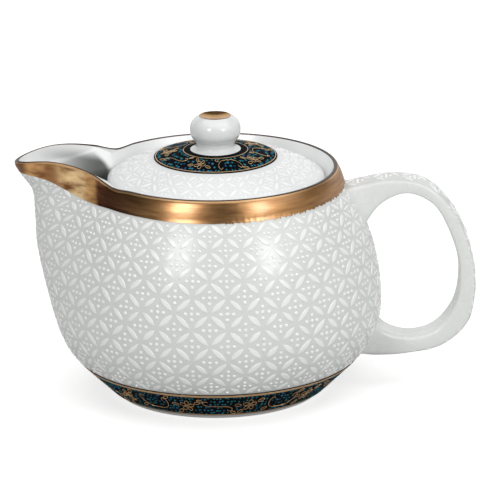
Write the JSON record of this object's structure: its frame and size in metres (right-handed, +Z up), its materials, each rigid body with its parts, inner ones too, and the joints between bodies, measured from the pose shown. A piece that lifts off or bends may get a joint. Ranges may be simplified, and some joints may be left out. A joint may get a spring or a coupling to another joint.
{
  "type": "teapot",
  "caption": "White porcelain teapot with a lip spout, loop handle, sunk lid with a ball knob, gilded mouth, dark enamel bands and a lift-out mesh infuser.",
  "frame": {"origin": "centre of the foot ring, on the plane that the pot stands on", "axes": "+Z up along the axis of the vessel, +X towards the handle, so the spout points to -X"},
  "size_m": [0.1703, 0.121, 0.1045],
  "materials": {
    "porcelain": "glazed, with a raised white relief",
    "porcelain_foot": "glazed, bare where it stands",
    "gold": "fired gold, bright",
    "dark_enamel": "dark enamel with raised dots and gold ornament",
    "steel": "polished sheet",
    "steel_mesh": "woven fine mesh"
  },
  "bodies": {
    "pot": {"pot_shell": "porcelain", "spout_lip": "porcelain", "foot_ring": "porcelain_foot", "handle_loop": "porcelain", "mouth_gold_band": "gold", "spout_gold_band": "gold", "foot_enamel_band": "dark_enamel", "foot_gold_lines": "gold"},
    "infuser": {"infuser_flange": "steel", "infuser_collar": "steel", "infuser_mesh_wall": "steel_mesh", "infuser_base_band": "steel", "infuser_mesh_floor": "steel_mesh", "infuser_seam": "steel"},
    "lid": {"lid_dome": "porcelain", "lid_bezel": "porcelain", "lid_enamel_band": "dark_enamel", "lid_gold_lines": "gold", "lid_knob": "porcelain", "knob_gold_dish": "gold"}
  },
  "joints": [
    {"name": "infuser_lift", "type": "slide", "parent": "pot", "child": "infuser", "axis": [0, 0, 1], "range_m": [0, 0.062]},
    {"name": "lid_lift", "type": "slide", "parent": "infuser", "child": "lid", "axis": [0, 0, 1], "range_m": [0, 0.045]}
  ]
}
